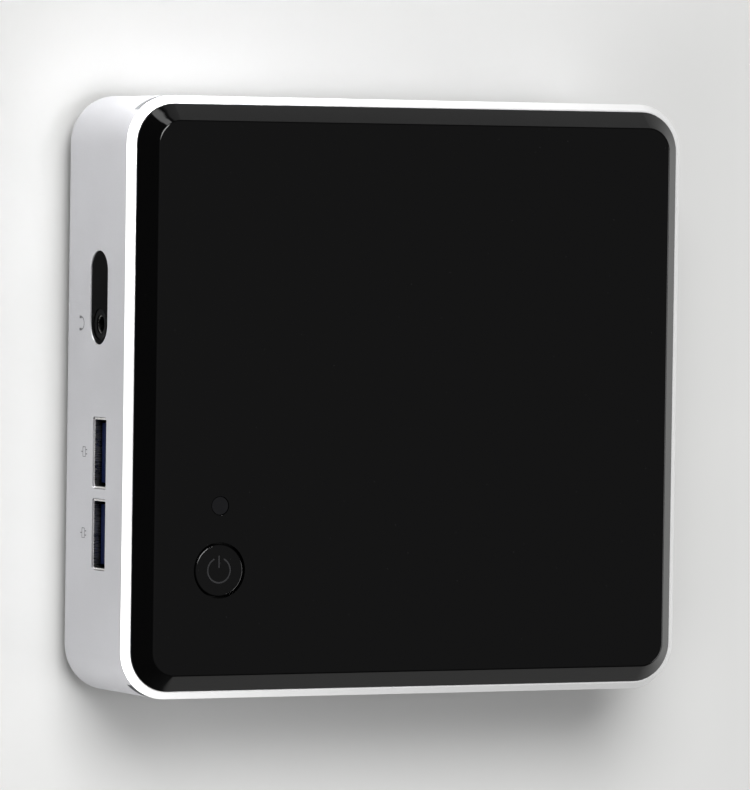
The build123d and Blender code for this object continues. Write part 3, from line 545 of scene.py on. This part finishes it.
def add_contacts(mesh, x, mouth, way):
    """Four gold strips on a tongue's contact side; way is 1 where the socket runs back from its mouth."""
    pitch, half_wide = 2.4 * MM, 0.5 * MM
    face = USB_Z - way * 0.15 * MM
    z0, z1 = sorted((face - way * 0.02 * MM, face + way * 0.12 * MM))
    y0, y1 = sorted((mouth + way * 2.6 * MM, mouth + way * 9.5 * MM))
    for k in range(4):
        cx = x + (k - 1.5) * pitch
        add_block(mesh, (cx - half_wide, y0, z0), (cx + half_wide, y1, z1), 0.04 * MM)


def add_leaf(mesh, x, mouth, way, lean):
    """A spring leaf, bent towards the plug, on the shell's wall that lean points to."""
    steps, root, length = 8, 6.5 * MM, 5.0 * MM
    section = [(-0.9, 0.0), (0.9, 0.0), (0.9, 0.2), (-0.9, 0.2)]
    wall = USB_Z + lean * 2.5 * MM
    rows = []
    for k in range(steps + 1):
        t = k / steps
        dip = 0.42 * MM * sin(pi * min(1.0, t * 1.15))
        y, z = mouth + way * (root - length * t), wall - lean * (0.08 * MM + dip)
        rows.append([mesh.verts.new((x + a * MM, y, z - lean * b * MM)) for a, b in section])
    for a, b in zip(rows, rows[1:]):
        for j in range(4):
            n = (j + 1) % 4
            mesh.faces.new((a[j], a[n], b[n], b[j]))
    mesh.faces.new(rows[0][::-1])
    mesh.faces.new(rows[-1])


def usb_details():
    """Gold contacts on each blue tongue, and the bent spring leaves of each shell."""
    contacts, leaves = bmesh.new(), bmesh.new()
    leaf_x = 3.3 * MM
    sockets = [(x, FRONT_Y + 0.25 * MM, 1) for x in USB_FRONT_X]
    sockets += [(x, BACK_Y - 0.5 * MM, -1) for x in USB_REAR_X]
    for x, mouth, way in sockets:
        add_contacts(contacts, x, mouth, way)
        for side in (-1, 1):
            for lean in (-1, 1):
                add_leaf(leaves, x + side * leaf_x, mouth, way, lean)
    bmesh.ops.recalc_face_normals(leaves, faces=leaves.faces)
    piece("usb_contacts", contacts, "gold", "chassis")
    piece("usb_spring_leaves", leaves, "socket_steel", "chassis")


def network_lights():
    """The two light windows in the lower corners of the network socket."""
    aside, below = 5.6 * MM, 4.2 * MM
    half_wide, half_high = 1.1 * MM, 0.95 * MM
    mid = middle(LAN_LOW, LAN_HIGH)
    y0, y1 = LAN_HIGH.y - 0.29 * MM, LAN_HIGH.y - 0.03 * MM
    z = mid.z - below
    for side, word in ((-1, "left"), (1, "right")):
        mesh = bmesh.new()
        x = mid.x + side * aside
        add_block(mesh, (x - half_wide, y0, z - half_high), (x + half_wide, y1, z + half_high), 0.08 * MM)
        piece("network_light_" + word, mesh, "light_" + word, "chassis")


power_symbol()
front_marks()
headphone_ring()
usb_details()
network_lights()


# ---------------------------------------------------------------- details on the inside
def gold_fingers():
    """The rows of edge contacts on both faces of the memory modules."""
    count, pitch, half_wide = 66, 1.0 * MM, 0.3 * MM
    mesh = bmesh.new()
    for node in ("memory_module_outer", "memory_module_inner"):
        low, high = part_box(node)
        z = middle(low, high).z
        y0, y1 = high.y - 2.4 * MM, high.y - 0.1 * MM
        for face in (-1, 1):
            z0, z1 = sorted((z + face * 0.47 * MM, z + face * 0.53 * MM))
            for k in range(count):
                x = (k - (count - 1) / 2) * pitch
                add_block(mesh, (x - half_wide, y0, z0), (x + half_wide, y1, z1))
    piece("memory_contacts", mesh, "gold", "chassis")


def surface_parts():
    """Chip resistors and capacitors in rows on the board's upper face, in millimetres."""
    zones = [(-48, -32, -36, -30, 30), (32, 48, -8, 0, 26), (-22, 20, -38, -31, 44), (32, 47, 26, 40, 34)]
    column_pitch, row_pitch = 2.2, 2.4
    large, small = (0.8, 0.4, 0.45), (0.5, 0.25, 0.3)     # half length, half width, height
    cap, proud, thicker = 0.2, 1.04, 1.06                 # the metal ends
    draw = random.Random(7)
    bodies, ends = bmesh.new(), bmesh.new()

    def chip(mesh, x0, y0, x1, y1, high, round_off):
        low, up = Vector((x0, y0, 0)) * MM, Vector((x1, y1, high)) * MM
        lift = Vector((0, 0, BOARD_TOP))
        add_block(mesh, low + lift, up + lift, round_off)

    for x0, x1, y0, y1, count in zones:
        columns = max(2, int((x1 - x0) / column_pitch))
        for k in range(count):
            x, y = x0 + 1 + (k % columns) * column_pitch, y0 + 1 + (k // columns) * row_pitch
            if y > y1 + 2:
                continue
            half, wide, high = large if draw.random() < 0.6 else small
            if draw.random() < 0.5:
                half, wide = wide, half
            chip(bodies, x - half, y - wide, x + half, y + wide, high, 0.05 * MM)
            for side in (-1, 1):
                if half > wide:
                    a, b = sorted((x + side * half * proud, x + side * (half - cap)))
                    span = a, y - wide * thicker, b, y + wide * thicker
                else:
                    a, b = sorted((y + side * wide * proud, y + side * (wide - cap)))
                    span = x - half * thicker, a, x + half * thicker, b
                chip(ends, *span, high * proud, 0.03 * MM)
    piece("chip_part_bodies", bodies, "chip_grey", "chassis")
    piece("chip_part_ends", ends, "socket_steel", "chassis")


gold_fingers()
surface_parts()


# ---------------------------------------------------------------- floor, light and camera
def make_floor():
    """A plain pale floor with a faint mottle."""
    reach = 9.0
    mesh = bmesh.new()
    bmesh.ops.create_grid(mesh, x_segments=12, y_segments=12, size=reach)
    data = bpy.data.meshes.new("floor")
    mesh.to_mesh(data)
    mesh.free()
    floor = bpy.data.objects.new("floor", data)
    bpy.context.scene.collection.objects.link(floor)
    color = (0.72, 0.72, 0.71)
    s = Surface("floor", color, 0.6, IOR=1.45)
    mottle = s.noise(60 * MM, detail=5)
    s.vary(color, 0.015, s.span(mottle, 0, 1))
    s.set("Roughness", s.span(mottle, 0.55, 0.68))
    s.bump(s.noise(1.5 * MM, detail=3), 0.02 * MM, 0.2)
    data.materials.append(s.material)
    return floor


def make_world():
    """Room light that is dim from the sides, brighter overhead, and matched to the far floor below."""
    world = bpy.data.worlds.new("room")
    world.use_nodes = True
    bpy.context.scene.world = world
    tree = world.node_tree
    place = tree.nodes.new("ShaderNodeTexCoord")
    split = tree.nodes.new("ShaderNodeSeparateXYZ")
    ramp = tree.nodes.new("ShaderNodeValToRGB")
    tree.links.new(place.outputs["Generated"], split.inputs["Vector"])
    tree.links.new(split.outputs["Z"], ramp.inputs["Fac"])
    tree.links.new(ramp.outputs["Color"], tree.nodes["Background"].inputs["Color"])
    stops = [(0.0, 0.075), (0.10, 0.065), (0.30, 0.035), (0.52, 0.03), (0.78, 0.15), (1.0, 0.20)]
    keys = ramp.color_ramp.elements
    while len(keys) < len(stops):
        keys.new(1.0)
    for key, (position, level) in zip(keys, stops):
        key.position = position
        key.color = (level, level, level * 1.01, 1)


def softbox(name, place, aim, wide, high, power, only=None):
    """A soft rectangular lamp that the camera doesn't see; only is the one object that it lights."""
    lamp = bpy.data.lights.new(name, "AREA")
    lamp.shape = "RECTANGLE"
    lamp.size, lamp.size_y, lamp.energy = wide, high, power
    thing = bpy.data.objects.new(name, lamp)
    thing.location = place
    thing.rotation_euler = (Vector(aim) - Vector(place)).to_track_quat("-Z", "Y").to_euler()
    thing.visible_camera = False
    bpy.context.scene.collection.objects.link(thing)
    if only:
        lit = bpy.data.collections.new(name + "_lights")
        lit.objects.link(only)
        thing.light_linking.receiver_collection = lit


def make_lights(floor):
    """A large lamp overhead, and small ones that each light the lid, the band or the floor alone."""
    case = (0, 0, 0.02)
    front_corner = (-0.052, -0.054, 0.02)
    lid, band = frame["nodes"]["top_cover"], frame["nodes"]["aluminium_band"]
    softbox("overhead", (-1.25, -0.60, 2.32), case, 1.5, 1.5, 66)
    softbox("rear_fill", (0.3, 1.2, 0.7), case, 0.9, 0.5, 5)
    softbox("left_strip", (-1.07, 0.54, 0.10), case, 1.4, 0.22, 0.33, only=lid)
    softbox("facet_light", (-0.92, -0.24, 0.31), case, 0.30, 0.20, 0.5, only=lid)
    softbox("corner_glow", (-0.102, -0.076, 0.045), front_corner, 0.02, 0.02, 0.34, only=band)
    softbox("right_glow", (0.10, -0.13, 0.05), (0.045, -0.058, 0.02), 0.12, 0.08, 0.24, only=band)
    softbox("front_pool", (0.10, -0.17, 0.26), (0.06, -0.11, 0), 0.14, 0.14, 0.16, only=floor)


def make_camera():
    """Looks at the front and lid from high in front, with the front edge to the left of the picture."""
    rim_middle = Vector((0, 0, RIM_Z))
    eye = rim_middle + Vector((-0.042, -0.590, 1.165))
    aim = middle(LOW, HIGH)
    lens_mm, roll_degrees = 316.0, 0.8
    camera = bpy.data.cameras.new("camera")
    camera.lens = lens_mm
    camera.clip_start, camera.clip_end = 0.05, 100
    thing = bpy.data.objects.new("camera", camera)
    forward = (aim - eye).normalized()
    right = forward.cross(Vector((-1, 0, 0))).normalized()
    up = right.cross(forward)
    turn = Matrix((right, up, -forward)).transposed().to_4x4()
    thing.matrix_world = Matrix.Translation(eye) @ turn @ Matrix.Rotation(radians(roll_degrees), 4, "Z")
    bpy.context.scene.collection.objects.link(thing)
    bpy.context.scene.camera = thing


make_world()
make_lights(make_floor())
make_camera()

bpy.context.scene.view_settings.view_transform = "Standard"
